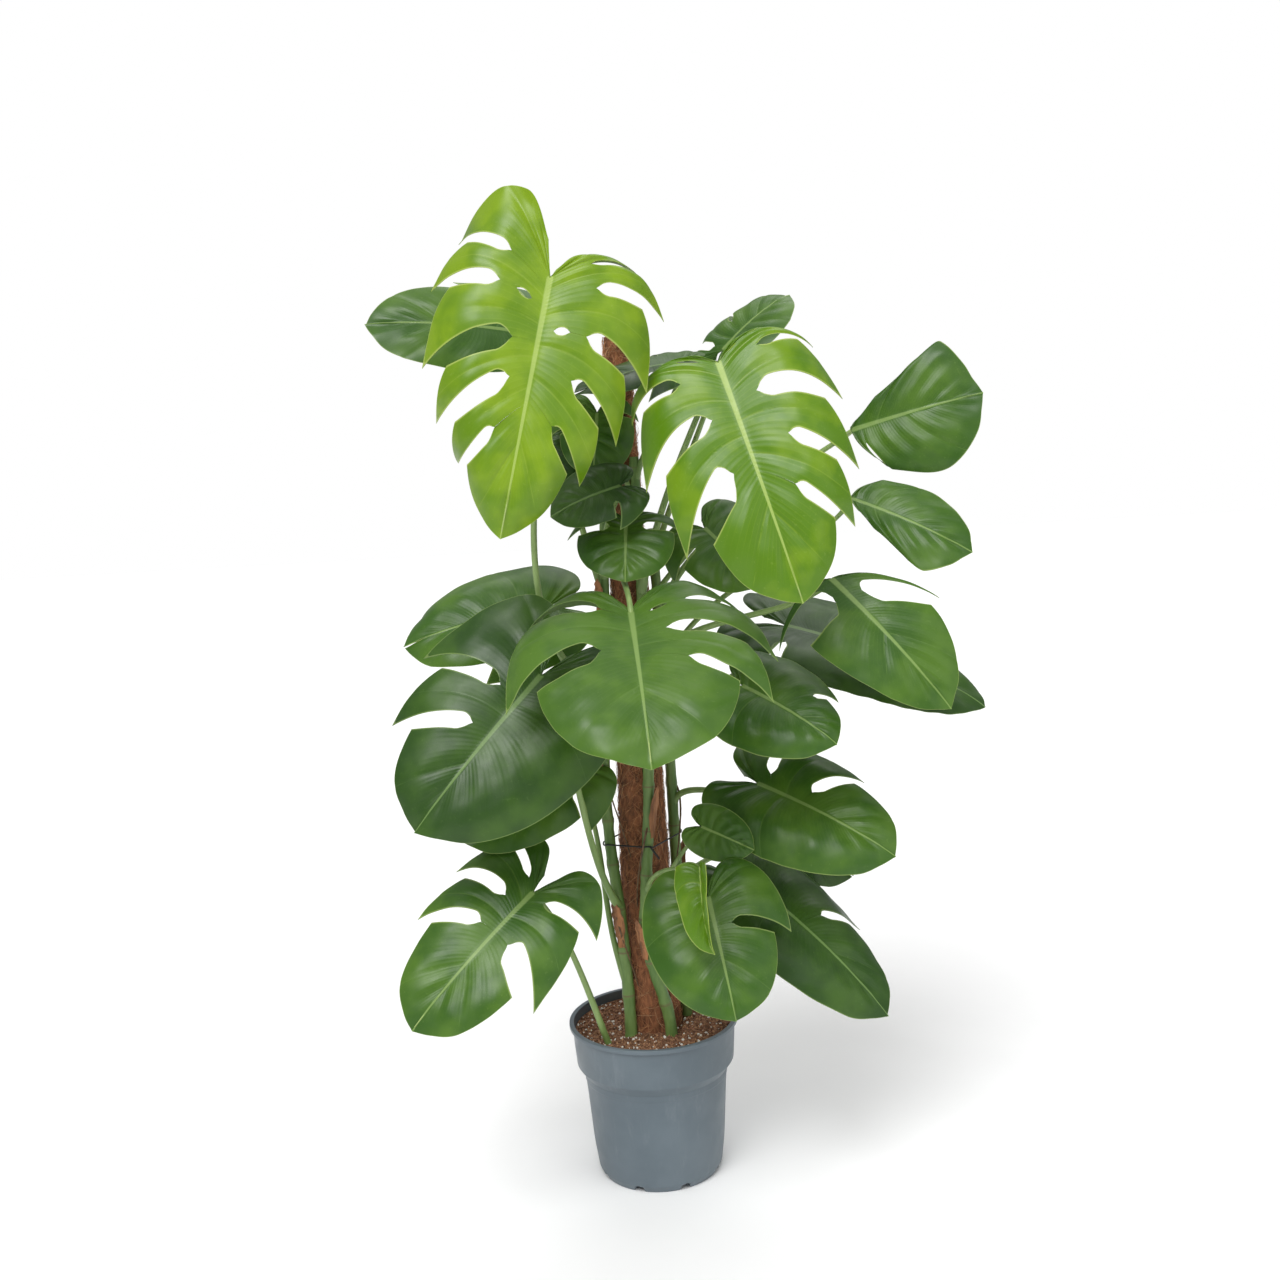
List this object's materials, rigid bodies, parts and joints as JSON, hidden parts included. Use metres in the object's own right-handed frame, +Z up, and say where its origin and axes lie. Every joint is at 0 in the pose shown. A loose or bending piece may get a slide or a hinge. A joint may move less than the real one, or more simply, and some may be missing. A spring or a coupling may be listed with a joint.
{
  "type": "potted monstera plant",
  "caption": "Split-leaf climbing plant with glossy cut leaves on long stalks, tied to a coir pole and standing in a round tapered nursery pot.",
  "frame": {"origin": "middle of the flat disc under the pot, on the axis of the pot and the pole", "axes": "+Z up along the pole, +X to the right and -Y towards the viewer in front"},
  "size_m": [0.8159, 0.5311, 1.3555],
  "materials": {
    "leaf_lime": "young leaf: lime green, glossy, quilted between pale veins",
    "leaf_green": "grown leaf: mid green, satin gloss, pale midrib and veins",
    "leaf_dark": "old leaf: dark green with a grey sheen, pale veins",
    "stalk": "leaf stalk: pale green, smooth, faintly streaked",
    "stem": "stem: green with brown leaf scars and rings",
    "pot": "blue-grey moulded plastic, satin",
    "soil": "brown coir and peat with white perlite grains",
    "coir": "reddish brown matted coconut fibre",
    "stake": "plain softwood dowel",
    "tie_wire": "black coated tie wire"
  },
  "bodies": {
    "root": {"leaf_01": "leaf_lime", "leaf_02": "leaf_lime", "leaf_03": "leaf_green", "leaf_04": "leaf_green", "leaf_05": "leaf_dark", "leaf_06": "leaf_green", "leaf_07": "leaf_green", "leaf_08": "leaf_green", "leaf_09": "leaf_green", "leaf_10": "leaf_dark", "leaf_11": "leaf_green", "leaf_12": "leaf_green", "leaf_13": "leaf_dark", "leaf_14": "leaf_dark", "leaf_15": "leaf_green", "leaf_16": "leaf_green", "leaf_17": "leaf_green", "leaf_18": "leaf_dark", "leaf_19": "leaf_green", "leaf_20": "leaf_green", "leaf_21": "leaf_green", "leaf_22": "leaf_dark", "leaf_23": "leaf_green", "leaf_24": "leaf_green", "leaf_25": "leaf_lime", "leaf_26": "leaf_dark", "stalk_01": "stalk", "stalk_02": "stalk", "stalk_03": "stalk", "stalk_04": "stalk", "stalk_05": "stalk", "stalk_06": "stalk", "stalk_07": "stalk", "stalk_08": "stalk", "stalk_09": "stalk", "stalk_10": "stalk", "stalk_11": "stalk", "stalk_12": "stalk", "stalk_13": "stalk", "stalk_14": "stalk", "stalk_15": "stalk", "stalk_16": "stalk", "stalk_17": "stalk", "stalk_18": "stalk", "stalk_19": "stalk", "stalk_20": "stalk", "stalk_21": "stalk", "stalk_22": "stalk", "stalk_23": "stalk", "stalk_24": "stalk", "stalk_25": "stalk", "stalk_26": "stalk", "stem_left": "stem", "stem_front": "stem", "stem_back": "stem", "pot": "pot", "soil": "soil", "coir_sleeve": "coir", "pole_stake": "stake", "tie_wire": "tie_wire"}
  },
  "joints": []
}
